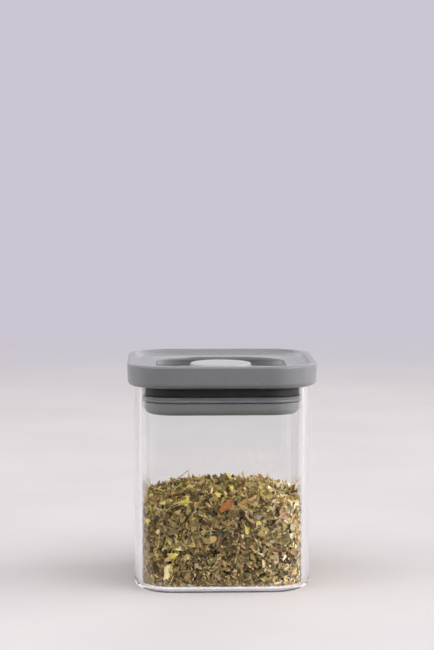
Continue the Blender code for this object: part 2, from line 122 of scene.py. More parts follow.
def rounded(corners, radii, steps, lead=0.25 * mm, straight=0.02):
    # a line through corners, each one replaced by an arc tangent to both sides, with a short lead beside it;
    # a corner that bends less than straight, in radians, stays as it is
    corners = np.array(corners, float)
    points = [corners[:1]]
    for before, here, after, radius in zip(corners, corners[1:], corners[2:], radii):
        back = (before - here) / np.linalg.norm(before - here)
        onward = (after - here) / np.linalg.norm(after - here)
        bend = math.pi - math.acos(float(np.clip(back @ onward, -1, 1)))
        if radius <= 0 or bend < straight:
            points.append(here[None])
            continue
        reach = radius * math.tan(bend / 2)
        middle = here + (back + onward) / np.linalg.norm(back + onward) * radius / math.cos(bend / 2)
        start = (here + back * reach - middle) / radius
        end = (here + onward * reach - middle) / radius
        share = np.linspace(0, 1, steps + 1)[:, None]
        arc = (np.sin((1 - share) * bend) * start + np.sin(share * bend) * end) / math.sin(bend)
        leadIn = here + back * (reach + lead)
        leadOut = here + onward * (reach + lead)
        points += [leadIn[None], middle + radius * arc, leadOut[None]]
    points.append(corners[-1:])
    return np.concatenate(points)


def closedSection(start, corners, radius, steps, lead):
    # a line that starts on one of its sides, goes round all its corners with one radius, and comes back
    return rounded([start, *corners, start], [radius] * len(corners), steps, lead)[:-1]


def gridFaces(rows, columns, closed):
    # quads of a grid whose columns run round, and whose rows may run back to the first
    row = np.arange(rows if closed else rows - 1)[:, None]
    column = np.arange(columns)[None, :]
    nextRow, nextColumn = (row + 1) % rows * columns, (column + 1) % columns
    here = row * columns
    quads = np.stack([here + column, here + nextColumn, nextRow + nextColumn, nextRow + column], -1)
    return quads.reshape(-1, 4)


def capFaces(rows, columns):
    # a fan on each end of an open grid, about a middle point that follows the grid's own points
    column = np.arange(columns)
    following = (column + 1) % columns
    last, middle = (rows - 1) * columns, rows * columns
    low = np.stack([np.full(columns, middle), following, column], -1)
    high = np.stack([np.full(columns, middle + 1), last + column, last + following], -1)
    return np.concatenate([low, high])


def gridSolid(grid, closed=False):
    # a grid as (points, quads, triangles), capped when its rows don't run back
    rows, columns = grid.shape[:2]
    points = grid.reshape(-1, 3)
    quads = gridFaces(rows, columns, closed)
    if closed:
        return points, quads, np.zeros((0, 3), int)
    points = np.concatenate([points, grid[0].mean(0)[None], grid[-1].mean(0)[None]])
    return points, quads, capFaces(rows, columns)


def joined(solids):
    # several solids as one set of arrays, each one's faces counted on from the points before it
    points, quads, triangles = zip(*solids)
    starts = np.cumsum([0] + [len(own) for own in points])
    quads = [own + start for own, start in zip(quads, starts)]
    triangles = [own + start for own, start in zip(triangles, starts)]
    return np.concatenate(points), np.concatenate(quads), np.concatenate(triangles)


def meshOf(name, solid, sharpAngle=38):
    # a solid's arrays as a mesh that shades smooth, apart from edges past the sharp angle in degrees
    points, quads, triangles = solid
    mesh = bpy.data.meshes.new(name)
    mesh.vertices.add(len(points))
    mesh.vertices.foreach_set("co", np.asarray(points, np.float32).ravel())
    corners = np.concatenate([quads.ravel(), triangles.ravel()])
    mesh.loops.add(len(corners))
    mesh.loops.foreach_set("vertex_index", corners.astype(np.int32))
    starts = np.concatenate([np.arange(len(quads)) * 4, quads.size + np.arange(len(triangles)) * 3])
    mesh.polygons.add(len(starts))
    mesh.polygons.foreach_set("loop_start", starts.astype(np.int32))
    mesh.update(calc_edges=True)
    mesh.validate()
    mesh.shade_smooth()
    mesh.set_sharp_from_angle(angle=math.radians(sharpAngle))
    return mesh


def placed(name, data):
    # a new object in the scene
    made = bpy.data.objects.new(name, data)
    bpy.context.scene.collection.objects.link(made)
    return made


def piece(mesh, material, body, slot, *nodes):
    # puts a mesh in the scene as a finished piece; with no body it is left free, for a blend
    made = placed(mesh.name, mesh)
    mesh.materials.clear()
    mesh.materials.append(material)
    if body:
        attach(made, body)
    if nodes:
        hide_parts(*nodes)
    return made


def smoothCopy(name, nodeName, sharpAngle=32, mergeWithin=0.002 * mm):
    # the CAD node's own shape with its loose triangles merged, so that its round faces shade smooth
    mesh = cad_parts[nodeName].data.copy()
    mesh.name = name
    work = placed(name + "_work", mesh)
    work.modifiers.new("weld", "WELD").merge_threshold = mergeWithin
    bpy.context.view_layer.update()
    merged = bpy.data.meshes.new_from_object(work.evaluated_get(bpy.context.evaluated_depsgraph_get()))
    bpy.data.objects.remove(work)
    merged.name = name
    merged.shade_smooth()
    merged.set_sharp_from_angle(angle=math.radians(sharpAngle))
    return merged


# Materials, whose patterns stand on Object coordinates or on numbers that the mesh carries.


def screenColour(red, green, blue):
    # a colour as a screen shows it, 0 to 255, as the linear values that shaders take: the sRGB curve undone
    value = np.array([red, green, blue]) / 255
    linear = np.where(value <= 0.04045, value / 12.92, ((value + 0.055) / 1.055) ** 2.4)
    return (*[float(v) for v in linear], 1.0)


def setInputs(tree, node, inputs):
    # an input that is given a socket is linked to it, and any other takes the value itself
    for key, value in inputs.items():
        if isinstance(value, bpy.types.NodeSocket):
            tree.links.new(value, node.inputs[key])
        else:
            node.inputs[key].default_value = value
    return node


def addNode(tree, kind, inputs=None, **settings):
    # a new node of one kind, with its settings and its inputs
    made = tree.nodes.new("ShaderNode" + kind)
    for key, value in settings.items():
        setattr(made, key, value)
    return setInputs(tree, made, inputs or {})


def startMaterial(name):
    # a new material, with its tree and the shader that is in it from the start
    made = bpy.data.materials.new(name)
    made.use_nodes = True
    return made, made.node_tree, made.node_tree.nodes["Principled BSDF"]


def noise(tree, scale, detail, roughness=0.5):
    # cloudy noise fixed to the piece, finer as the scale goes up
    place = addNode(tree, "TexCoord").outputs["Object"]
    inputs = {"Vector": place, "Scale": scale, "Detail": detail, "Roughness": roughness}
    return addNode(tree, "TexNoise", inputs).outputs["Fac"]


def carried(tree, name):
    # a number that the mesh carries at each point
    return addNode(tree, "Attribute", attribute_name=name).outputs["Fac"]


def ramp(tree, factor, stops):
    # a colour that changes evenly from each (place, screen colour) to the next
    made = addNode(tree, "ValToRGB", {"Fac": factor})
    elements = made.color_ramp.elements
    while len(elements) < len(stops):
        elements.new(0.5)
    for element, (place, colour) in zip(elements, stops):
        element.position, element.color = place, screenColour(*colour)
    return made.outputs["Color"]


def rescaled(tree, value, ends=(0.0, 1.0), onto=(0.0, 1.0), smooth=False):
    # a value between two ends carried onto another range, evenly or with soft ends
    inputs = {"Value": value, "From Min": ends[0], "From Max": ends[1], "To Min": onto[0], "To Max": onto[1]}
    kind = "SMOOTHSTEP" if smooth else "LINEAR"
    return addNode(tree, "MapRange", inputs, interpolation_type=kind).outputs["Result"]


def relief(tree, height, strength, depth):
    # the normal of bumps that are too fine for the mesh
    inputs = {"Height": height, "Strength": strength, "Distance": depth}
    return addNode(tree, "Bump", inputs).outputs["Normal"]


def mixShaders(tree, factor, first, second):
    # the first shader where the factor is 0, the second where it is 1
    return addNode(tree, "MixShader", {0: factor, 1: first, 2: second}).outputs[0]


moulding = {
    "cloudScale": 70.0,
    "middle": (0.3, 0.7),  # the part of the noise's range that tone and gloss follow
    "glossWander": 0.04,
    "grainDepth": 0.02 * mm,
}


def moulded(name, dark, light, roughness, grainScale, grainBump, ior, paintedShadeTone):
    # satin moulding: a faint cloud of tone, and the fine spark-eroded grain of the mould in gloss and relief;
    # with a painted shade tone it darkens where the mesh says that it is sunk, painted shade in the recess
    made, tree, shader = startMaterial(name)
    low, high = moulding["middle"]
    colour = ramp(tree, noise(tree, moulding["cloudScale"], 4.0), [(low, dark), (high, light)])
    grain = noise(tree, grainScale, 2.0)
    # painted shade: the colour darkens down into the well's bowl
    if paintedShadeTone:
        value = rescaled(tree, carried(tree, "paintedShade"), onto=(1.0, paintedShadeTone))
        colour = addNode(tree, "HueSaturation", {"Color": colour, "Value": value}).outputs["Color"]
    wander = moulding["glossWander"]
    setInputs(tree, shader, {
        "Base Color": colour,
        "Roughness": rescaled(tree, grain, moulding["middle"], (roughness - wander, roughness + wander)),
        "IOR": ior,
        "Normal": relief(tree, grain, grainBump, moulding["grainDepth"])})
    return made


def drawnSteel(name, tones, lineScale, roughness):
    # bright drawn wire: fine scratches in its tone and a slightly uneven gloss
    made, tree, shader = startMaterial(name)
    line = noise(tree, lineScale, 3.0, 0.7)
    gloss = rescaled(tree, line, onto=roughness)
    setInputs(tree, shader, {"Base Color": ramp(tree, line, tones), "Roughness": gloss, "Metallic": 1.0})
    return made


def clearGlass(name, given, letsOut):
    # real glass to the eye; rays from lamps and off matt surfaces go straight through, and so do rays
    # caught between the wall's faces where letsOut is true
    made, tree, shader = startMaterial(name)
    wave = noise(tree, given["waveScale"], 1.0)
    setInputs(tree, shader, {
        "Base Color": given["tint"],
        "Roughness": 0.0,
        "IOR": given["ior"],
        "Transmission Weight": 1.0,
        "Normal": relief(tree, wave, given["waveBump"], given["waveDepth"])})
    rays = addNode(tree, "LightPath").outputs
    through = addNode(tree, "BsdfTransparent", {"Color": given["shade"]}).outputs[0]
    surface = mixShaders(tree, rays["Is Shadow Ray"], shader.outputs[0], through)
    surface = mixShaders(tree, rays["Is Diffuse Ray"], surface, through)
    if letsOut:
        surface = mixShaders(tree, rays["Is Reflection Ray"], surface, through)
    tree.links.new(surface, tree.nodes["Material Output"].inputs["Surface"])
    return made


leafSurface = {
    "mottleScale": 900.0,
    "mottleShift": 0.06,  # how far mottling moves a colour along its ramp
    "veinScale": 2400.0,
    "veinTone": (0.75, 1.2),
    "veinBump": 0.5,
    "veinDepth": 0.12 * mm,
    "washOutShades": (1.4, 2.2),  # flakes that painted light makes this pale lose colour, down to the saturation below
    "washedOutSaturation": 0.4,
    "specular": 0.3,
}


def driedLeaf(name, kinds, roughness=0.72):
    # each flake's kind picks its colour and its shade darkens it, both mottled along its veins; where painted
    # light makes flakes palest they also lose colour
    made, tree, shader = startMaterial(name)
    shade = carried(tree, "shade")
    shift = leafSurface["mottleShift"]
    mottle = rescaled(tree, noise(tree, leafSurface["mottleScale"], 5.0, 0.65), onto=(-shift, shift))
    spot = addNode(tree, "Math", {0: carried(tree, "kind"), 1: mottle}, operation="ADD").outputs[0]
    vein = noise(tree, leafSurface["veinScale"], 4.0)
    worn = rescaled(tree, vein, onto=leafSurface["veinTone"])
    toned = addNode(tree, "HueSaturation", {
        "Color": ramp(tree, spot, kinds),
        "Value": addNode(tree, "Math", {0: shade, 1: worn}, operation="MULTIPLY").outputs[0],
        # painted light washes the colour out of the palest flakes
        "Saturation": rescaled(tree, shade, leafSurface["washOutShades"], (1.0, leafSurface["washedOutSaturation"]))})
    setInputs(tree, shader, {
        "Base Color": toned.outputs["Color"],
        "Roughness": roughness,
        "Specular IOR Level": leafSurface["specular"],
        "Normal": relief(tree, vein, leafSurface["veinBump"], leafSurface["veinDepth"])})
    return made


finishes = {
    # dark and light tone, roughness, grain scale and bump, IOR, and the painted shade tone where the piece is
    # sunk
    "satinLidGrey": ((127, 127, 129), (134, 134, 136), 0.27, 5200.0, 0.1, 1.5, 0.12),
    # the liner's dark grey is partly its own colour and partly painted shade for the gap under the lid
    "linerGreyWithPaintedShade": ((40, 37, 36), (48, 45, 43), 0.5, 4200.0, 0.12, 1.48, None),
    "greySilicone": ((124, 124, 126), (132, 132, 133), 0.55, 3000.0, 0.16, 1.48, None),
    "glossyCupGrey": ((138, 139, 138), (146, 146, 145), 0.3, 3800.0, 0.06, 1.48, None),
    "paleButtonGrey": ((162, 163, 165), (170, 171, 173), 0.42, 5200.0, 0.1, 1.48, None),
    "naturalAcetal": ((214, 214, 208), (226, 226, 220), 0.34, 4600.0, 0.06, 1.48, None),
}
plastic = {name: moulded(name, *finish) for name, finish in finishes.items()}
acetal = plastic["naturalAcetal"]
steelTones = [(0.35, (168, 169, 172)), (0.65, (206, 206, 208))]
wireSteel = drawnSteel("drawnSpringWire", steelTones, lineScale=2600.0, roughness=(0.2, 0.38))
print("plastics and steel mixed")


# The glass body.

glass = {
    "wall": 2.65 * mm, "base": 1.9 * mm, "baseRound": 3.0 * mm, "innerRound": 0.8 * mm, "rimRound": 1.0 * mm,
    "footHalf": 26 * mm,  # inside this the underside is hollow
    "footHollow": 0.15 * mm,  # the underside lifts this much inside its standing ring
    "floorHalf": 24 * mm,
    "floorDome": 0.1 * mm,  # the inner floor rises this much to its middle
    "centreShare": 0.7,  # small outlines turn their corners about this share of their half width
    "baseZone": 4.0 * mm,  # the wall's material starts here
    "ior": 1.47, "tint": (0.998, 1.0, 0.999, 1.0), "shade": (0.97, 0.975, 0.975, 1.0),
    "waveScale": 45.0, "waveBump": 0.03, "waveDepth": 0.3 * mm,
}


def domeLine(share, half, level, rise):
    # places at shares of a half width, on a parabola that stands above its level by the rise at the middle
    across = np.where(share > 0, share * half, poleHalf)
    return np.stack([across, level + rise * (1 - (across / half) ** 2)], -1)


def glassBody(given):
    # outside from under the foot to the rim, over it, and down the inside to the floor
    half, top = jarBox[1].x, jarBox[1].z
    inner, floor = half - given["wall"], given["base"]
    footHalf, floorHalf = given["footHalf"], given["floorHalf"]
    walls = rounded(
        [(footHalf, 0), (half, 0), (half, top), (inner, top), (inner, floor), (floorHalf, floor)],
        [given["baseRound"], given["rimRound"], given["rimRound"], given["innerRound"]], steps=12)
    foot = domeLine(np.linspace(0, 1, 7), footHalf, 0, given["footHollow"])
    under = domeLine(np.linspace(1, 0, 7), floorHalf, floor, given["floorDome"])
    profile = np.concatenate([foot[:-1], walls, under[1:]])
    centre = np.minimum(cornerCentre, profile[:, 0] * given["centreShare"])
    return gridSolid(squareGrid(profile, centre, cornerSteps=28, sideSteps=16))


jarMesh = meshOf("glassBody", glassBody(glass))
piece(jarMesh, clearGlass("clearWallGlass", glass, True), "jar", "glass", "glass_jar")
jarMesh.materials.append(clearGlass("clearBaseGlass", glass, False))
middles = np.empty(len(jarMesh.polygons) * 3, np.float32)
jarMesh.polygons.foreach_get("center", middles)
jarMesh.polygons.foreach_set("material_index", (middles[2::3] < glass["baseZone"]).astype(np.int32))
print("glass blown")


# The lid's cover.

cover = {
    "wall": 1.6 * mm, "skirtFoot": 77.4 * mm, "skirtInner": 33.8 * mm, "draft": 0.25 * mm,
    "footRound": 1.9 * mm, "rimRound": 0.9 * mm,
    "rimInner": 33.7 * mm,  # where the rim's land turns down into the dish
    "landRound": 0.7 * mm, "dishRound": 2.6 * mm,
    "dishBreak": (32.3 * mm, 84.2 * mm), "lip": (25.2 * mm, 83.5 * mm),
    "lipShoulder": (0.4 * mm, 0.05 * mm),  # the dish ends this far outside the lip and above it
    "lipCentre": 7.7 * mm,
    "centreRun": 1.4 * mm,  # corners turn about cornerCentre from this far past the dish's break
    "bowlRun": 5.0 * mm, "bowlDepth": 2.3 * mm,
    "fullShadeShare": 0.7,  # the painted shade in the bowl is at its darkest from this share of its depth
    "hole": 12.2 * mm, "holeBreak": 0.3 * mm, "underBreak": 0.05 * mm,
    "underStep": 0.6 * mm,  # the underside rises this much to meet the skirt
    "pinPlace": 17.0 * mm, "pinRadius": 1.2 * mm, "pinLength": 4.5 * mm,
    "pinTip": 0.7, "pinChamfer": 0.4 * mm, "pinRoot": 0.6 * mm,  # root: how far it runs up into the wall
}


def bowlLine(given, offset, steps=10):
    # quarter ellipse from the lip to the well's floor, or the same line a wall further out
    turn = np.linspace(0, np.pi / 2, steps + 1)
    start = given["lip"][0] - given["bowlRun"]
    half = start + (given["bowlRun"] + offset) * np.cos(turn)
    height = given["lip"][1] - offset - given["bowlDepth"] * np.sin(turn)
    return np.stack([half, height], -1)


def coverShell(given):
    # up the skirt, over the rim, down the dish and the bowl to the button's hole, and back along the
    # underside; the painted shade in the well follows how far down the bowl each point lies
    half, top = coverBox[1].x, coverBox[1].z
    foot, inner, wall = given["skirtFoot"], given["skirtInner"], given["wall"]
    lipHalf, lipHeight = given["lip"]
    shoulderOut, shoulderUp = given["lipShoulder"]
    breakHalf, breakHeight = given["dishBreak"]
    outside = rounded(
        [(inner, foot), (half - given["draft"], foot), (half, top), (given["rimInner"], top),
         (breakHalf, breakHeight), (lipHalf + shoulderOut, lipHeight + shoulderUp)],
        [given["footRound"], given["rimRound"], given["landRound"], given["dishRound"]],
        steps=12, lead=0.12 * mm)
    bowl = bowlLine(given, 0.0)
    bowlHalf, floorTop = bowl[-1]
    hole, holeBreak, underBreak = given["hole"], given["holeBreak"], given["underBreak"]
    floorHalf = np.linspace(bowlHalf, hole + holeBreak, 6)[1:]
    floor = np.stack([floorHalf, np.full(len(floorHalf), floorTop)], -1)
    edge = [(hole, floorTop - holeBreak), (hole, floorTop - wall + underBreak)]
    underBowl = bowlLine(given, wall)[::-1]
    backHalf = np.linspace(hole + underBreak, underBowl[0, 0], 6)[:-1]
    back = np.stack([backHalf, np.full(len(backHalf), floorTop - wall)], -1)
    under = [(breakHalf, breakHeight - wall), (inner, breakHeight - wall + given["underStep"])]
    profile = np.concatenate([outside, bowl, floor, edge, back, underBowl, under])
    share = np.clip((profile[:, 0] - lipHalf) / (breakHalf + given["centreRun"] - lipHalf), 0, 1)
    centre = given["lipCentre"] + (cornerCentre - given["lipCentre"]) * share * share * (3 - 2 * share)
    roundness = np.clip((bowlHalf - profile[:, 0]) / (bowlHalf - hole - holeBreak), 0, 1)
    grid = squareGrid(profile, centre, roundness, cornerSteps=28, sideSteps=14)
    inBowl = np.arange(len(profile)) >= len(outside)
    # painted shade for the well, darkest down its bowl
    sunk = (lipHeight - profile[:, 1]) / (given["fullShadeShare"] * given["bowlDepth"])
    paintedShade = np.where(inBowl, np.clip(sunk, 0, 1), 0)
    return gridSolid(grid, closed=True), np.repeat(paintedShade, grid.shape[1])


def coverPins(given):
    # four round pins on the underside, with a chamfered tip
    under = given["lip"][1] - given["bowlDepth"] - given["wall"]
    radius, tip = given["pinRadius"], under - given["pinLength"]
    pin = turnedGrid(np.array([
        (radius * given["pinTip"], tip), (radius, tip + given["pinChamfer"]),
        (radius, under + given["pinRoot"])]), 24)
    corners = [(x, y, 0.0) for x in (-1, 1) for y in (-1, 1)]
    return [gridSolid(pin + np.array(corner) * given["pinPlace"]) for corner in corners]


shell, paintedShadePlaces = coverShell(cover)
coverMesh = meshOf("lidCover", joined([shell, *coverPins(cover)]), sharpAngle=55)
# each point carries its share of painted shade for the well
paintedShadePlaces = np.pad(paintedShadePlaces, (0, len(coverMesh.vertices) - len(paintedShadePlaces)))
coverMesh.attributes.new("paintedShade", "FLOAT", "POINT").data.foreach_set("value", paintedShadePlaces.astype(np.float32))
piece(coverMesh, plastic["satinLidGrey"], "lid", "lid_plastic", "lid_cover")
print("lid cover moulded")


# The liner, the seal and the cup.

liner = {
    "bore": 27.8 * mm,
    "neck": 29.3 * mm,
    "wallTop": 81.6 * mm,
    "rimGap": 0.3 * mm,  # between the glass rim and the plate over it
    "plate": 1.5 * mm,
    "upstand": 1.1 * mm,
    "edge": 0.25 * mm,
    "seam": 1 * mm,  # height in the bore where the section starts and ends
}


def linerRing(given):
    # neck, plate and upstand as one channel section, with every edge broken
    low, high = linerBox[0].z, linerBox[1].z
    half, bore, neck = linerBox[1].x, given["bore"], given["neck"]
    plate, wallTop = jarBox[1].z + given["rimGap"], given["wallTop"]
    plateTop, upstand = plate + given["plate"], half - given["upstand"]
    corners = [
        (bore, low), (neck, low), (neck, plate), (half, plate), (half, high), (upstand, high),
        (upstand, plateTop), (neck, plateTop), (neck, wallTop), (bore, wallTop)]
    start = (bore, low + given["seam"])
    profile = closedSection(start, corners, given["edge"], steps=3, lead=0.05 * mm)
    return gridSolid(squareGrid(profile), closed=True)


seal = {
    "bore": liner["bore"],
    "body": 0.4 * mm,  # how far the lips stand out of the body
    "waist": 0.2 * mm,
    "lipShare": 0.13,  # of the ring's height
    "soft": 0.22 * mm,
}


def sealRing(given):
    # two soft lips with a waist between them, on a flat body
    low, high, half = sealBox[0].z, sealBox[1].z, sealBox[1].x
    rise, middle = (high - low) * given["lipShare"], (low + high) / 2
    bore, body = given["bore"], half - given["body"]
    corners = [
        (bore, low), (body, low), (half, low + rise), (half - given["waist"], middle),
        (half, high - rise), (body, high), (bore, high)]
    profile = closedSection((bore, middle), corners, given["soft"], steps=4, lead=0.03 * mm)
    return gridSolid(squareGrid(profile, cornerSteps=24), closed=True)


linerMesh = meshOf("lidLiner", linerRing(liner), sharpAngle=50)
piece(linerMesh, plastic["linerGreyWithPaintedShade"], "lid", "liner_plastic", "lid_liner")
sealMesh = meshOf("sealRing", sealRing(seal), sharpAngle=70)
piece(sealMesh, plastic["greySilicone"], "lid", "silicone", "seal_ring")
cupMesh = smoothCopy("plugCup", "plug_cup", sharpAngle=40)
piece(cupMesh, plastic["glossyCupGrey"], "lid", "cup_plastic", "plug_cup")
print("liner, seal and cup in place")


# The button and the works under it.

button = {
    "wall": 1.4 * mm,
    "edge": 0.8 * mm,
    "dish": 0.2 * mm,
    "dishPole": 0.4 * mm,  # radius of the dish's innermost ring
    "lineInset": 1.3 * mm, "lineWidth": 0.45 * mm, "lineDepth": 0.2 * mm,
    "roof": 1.5 * mm, "step": 1.8 * mm, "spigotGap": 0.3 * mm,
    "flare": (1.8 * mm, 3.2 * mm),  # heights over the step between which the bore widens
    "boreRounds": (0.5 * mm, 0.3 * mm, 0.3 * mm),
    "footRounds": (0.15 * mm, 0.2 * mm, 0, 0.2 * mm),
}


def buttonCap(given):
    # from the roof's underside down the bore, round the stepped foot, up the skirt and over the dished top
    low, high, radius = buttonBox[0].z, buttonBox[1].z, buttonBox[1].x
    inner, spigot = radius - given["wall"], radius - given["wall"] / 2 - given["spigotGap"]
    bore = spigot - given["wall"] / 2
    step, roof = low + given["step"], high - given["roof"]
    flareLow, flareHigh = given["flare"]
    line = radius - given["lineInset"]
    body = rounded(
        [(inner / 2, roof), (inner, roof), (inner, step + flareHigh), (bore, step + flareLow), (bore, low),
         (spigot, low), (spigot, step), (radius, step), (radius, high), (line, high)],
        [*given["boreRounds"], *given["footRounds"], given["edge"]], steps=6, lead=0.1 * mm)
    turn = np.linspace(0, np.pi, 9)[1:]
    across = line - given["lineWidth"] * (1 - np.cos(turn)) / 2
    groove = np.stack([across, high - given["lineDepth"] * np.sin(turn)], -1)
    rim = groove[-1, 0]
    top = np.linspace(rim, given["dishPole"], 12)[1:]
    dish = np.stack([top, high - given["dish"] * (1 - (top / rim) ** 2)], -1)
    return gridSolid(turnedGrid(np.concatenate([body, groove, dish]), 128))


spring = {
    "radius": 7.1 * mm, "wire": 0.4 * mm, "turns": 5.5, "endTurn": 0.75, "endPitch": 1.3 * mm, "steps": 36}


def returnSpring(given):
    # a helix whose end turns climb slowly, and whose middle turns share the rest of the height
    low, high = springBox[0].z + given["wire"], springBox[1].z - given["wire"]
    turns = np.linspace(0, given["turns"], int(given["turns"] * given["steps"]) + 1)
    closed = np.minimum(turns, given["endTurn"])
    closed = closed + np.maximum(0, turns - given["turns"] + given["endTurn"])
    free = high - low - 2 * given["endTurn"] * given["endPitch"]
    pitch = free / (given["turns"] - 2 * given["endTurn"])
    height = low + closed * given["endPitch"] + (turns - closed) * pitch
    angle = turns * 2 * np.pi
    path = np.stack([given["radius"] * np.cos(angle), given["radius"] * np.sin(angle), height], -1)
    return gridSolid(tubeGrid(path, given["wire"], (0, 0, 1)))


buttonMesh = meshOf("pushButton", buttonCap(button), sharpAngle=50)
piece(buttonMesh, plastic["paleButtonGrey"], "button", "button_plastic", "button_cap")
springMesh = meshOf("returnSpring", returnSpring(spring), sharpAngle=50)
coil = piece(springMesh, wireSteel, None, "spring_steel", "return_spring")
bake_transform(coil)
piece(smoothCopy("camStem", "cam_stem"), acetal, "button", "inner_plastic", "cam_stem")
piece(smoothCopy("expanderFrame", "expander_frame"), acetal, "button", "inner_plastic", "expander_frame")
piece(smoothCopy("latchWire", "latch_wire", sharpAngle=50), wireSteel, "latch", "spring_steel", "latch_wire")
print("button, spring and latch fitted")


# The herbs: flakes and crumbs by the glass, flakes and stalks on top, and a dark core of painted shade that
# fills the rest.

herbs = {
    "seed": 11,
    "wallFlakes": 4500,  # in each of the two layers against the glass
    "crumbs": 7000, "topFlakes": 4400, "stalks": 700,
    "floor": 2.15 * mm,
    "footRound": 0.8 * mm,  # the glass turns in towards its floor with this radius
    "wallLimit": 30.3 * mm,  # half width that no flake passes
    "wallSlack": (0.0, 0.5),  # millimetres that a flake by the glass may stop short of it
    "crown": 36.5 * mm,
    "cornerDrop": 6.0 * mm,  # how much lower the heap is in the jar's corners
    "heapReach": 37.8 * mm, "heapPower": 2.2, "rightRise": 0.015,
    "frontShare": 0.7,  # distances to the front count as this much, so the heap is fuller there
    "wideLumps": (0.5, 190, 1.3, 160, 0.4),  # millimetres, then the rate and start of each wave
    "fineLumps": (0.35, 420, 310),
    "kindWander": 0.02, "shades": (0.27, 1.42), "palest": 1.85,
    "paintedLightMost": 0.62,  # painted light from the right: flakes there are up to this much paler
    "paintedLightAcross": (6, 24, 26, 30),  # millimetres to the right, and how much of the painted light applies there
    "paintedLightShares": (0, 1, 1, 0.2),
    "footShadeMost": 0.2,  # painted shade: flakes at the foot are up to this much darker
    "footShadeRise": 4 * mm,
}
leafKinds = [
    (0.05, (150, 141, 102)), (0.2, (74, 55, 38)), (0.35, (168, 130, 84)), (0.5, (188, 158, 98)),
    (0.62, (178, 160, 96)), (0.74, (204, 184, 84)), (0.86, (226, 204, 158)), (0.97, (190, 116, 60))]
wallShares = [8, 14, 19, 30, 16, 3, 10, 0.5]  # of each kind in turn
topShares = [4, 8, 8, 22, 28, 20, 10, 1]
stalkKinds = [(0.0, (150, 112, 62)), (0.5, (206, 176, 116)), (1.0, (234, 214, 160))]
coreKinds = [(0.3, (30, 22, 12)), (0.7, (52, 38, 22))]
chance = np.random.default_rng(herbs["seed"])


def squareDistance(plan):
    # half width of the rounded square through each point, all squares sharing one set of corner centres
    x, y = np.abs(plan[:, 0]), np.abs(plan[:, 1])
    beyond = np.hypot(np.maximum(x - cornerCentre, 0), np.maximum(y - cornerCentre, 0))
    return np.where(beyond > 0, cornerCentre + beyond, np.maximum(x, y))


def heapHeight(plan):
    # low round heap that falls off to the jar's corners, fuller at the front and right, with soft lumps: the
    # crown less a power of the distance, plus a slope and two waves
    x, y = plan[..., 0], plan[..., 1]
    share = np.hypot(x, np.where(y < 0, herbs["frontShare"] * y, y)) / herbs["heapReach"]
    wide, acrossRate, acrossStart, depthRate, depthStart = herbs["wideLumps"]
    fine, fineAcross, fineDepth = herbs["fineLumps"]
    lumps = wide * np.sin(x * acrossRate + acrossStart) * np.cos(y * depthRate - depthStart)
    lumps = lumps + fine * np.sin(x * fineAcross + y * fineDepth)
    heap = herbs["crown"] - herbs["cornerDrop"] * share ** herbs["heapPower"]
    return heap + herbs["rightRise"] * x + lumps * mm


def insideGlass(points, limit):
    # points past the limit slide back onto the rounded square of that half width, drawn in near the floor
    low = np.maximum(points[..., 2:], herbs["floor"])
    turnIn = np.clip(1 - (low - herbs["floor"]) / herbs["footRound"], 0, 1)
    plan = points[..., :2]
    anchor = np.clip(plan, -cornerCentre, cornerCentre)
    offset = plan - anchor
    reach = np.linalg.norm(offset, axis=-1, keepdims=True)
    drawnIn = herbs["footRound"] * (1 - np.sqrt(1 - turnIn ** 2))
    allowed = np.asarray(limit)[..., None] - cornerCentre - drawnIn
    offset = np.where(reach > allowed, offset * allowed / np.maximum(reach, tiny), offset)
    return np.concatenate([anchor + offset, low], -1)


def unit(vectors):
    # the same directions with length 1
    return vectors / np.maximum(np.linalg.norm(vectors, axis=-1, keepdims=True), tiny)


def onWall(count, half):
    # even places round a rounded square, as points and outward normals
    arc = np.pi / 2 * (half - cornerCentre)
    walk = chance.random(count) * 4
    quarter = np.floor(walk).astype(int) % 4
    distance = (walk - np.floor(walk)) * (arc + 2 * cornerCentre)
    onArc = distance < arc
    angle = quarter * np.pi / 2 + np.where(onArc, distance / (half - cornerCentre), np.pi / 2)
    normal = np.stack([np.cos(angle), np.sin(angle)], -1)
    share = np.where(onArc, 0, (distance - arc) / (2 * cornerCentre))[:, None]
    anchor = cornerSigns[quarter] + toNextCorner[quarter] * share
    return anchor * cornerCentre + normal * (np.asarray(half) - cornerCentre)[:, None], normal


def patchFaces(rows, columns):
    # quads of a patch with two sides: its front, its back, and the edge all round
    spot = np.arange(rows * columns).reshape(rows, columns)
    front = np.stack([spot[:-1, :-1], spot[1:, :-1], spot[1:, 1:], spot[:-1, 1:]], -1).reshape(-1, 4)
    loop = np.concatenate([spot[:-1, 0], spot[-1, :-1], spot[:0:-1, -1], spot[0, :0:-1]])
    ahead = np.roll(loop, -1)
    edge = np.stack([loop + spot.size, ahead + spot.size, ahead, loop], -1)
    return np.concatenate([front, front[:, ::-1] + spot.size, edge])


flake = {
    "torn": (0.4, 1.15),  # how far from the midrib its edge is torn, against its half width
    "tipFrom": 0.9,  # its two tips, past this share of its half length, are narrower
    "tipWidth": 0.6,
    "slide": 0.2,  # how far a point strays along it, against its half length
    "offset": 0.15,  # how far the blade stands aside of its midrib, against its half width
    "bend": 0.42,  # spread of its fold, curl and twist
    "halfThick": (0.04, 0.08),  # millimetres
    "sharpAngle": 28,
}


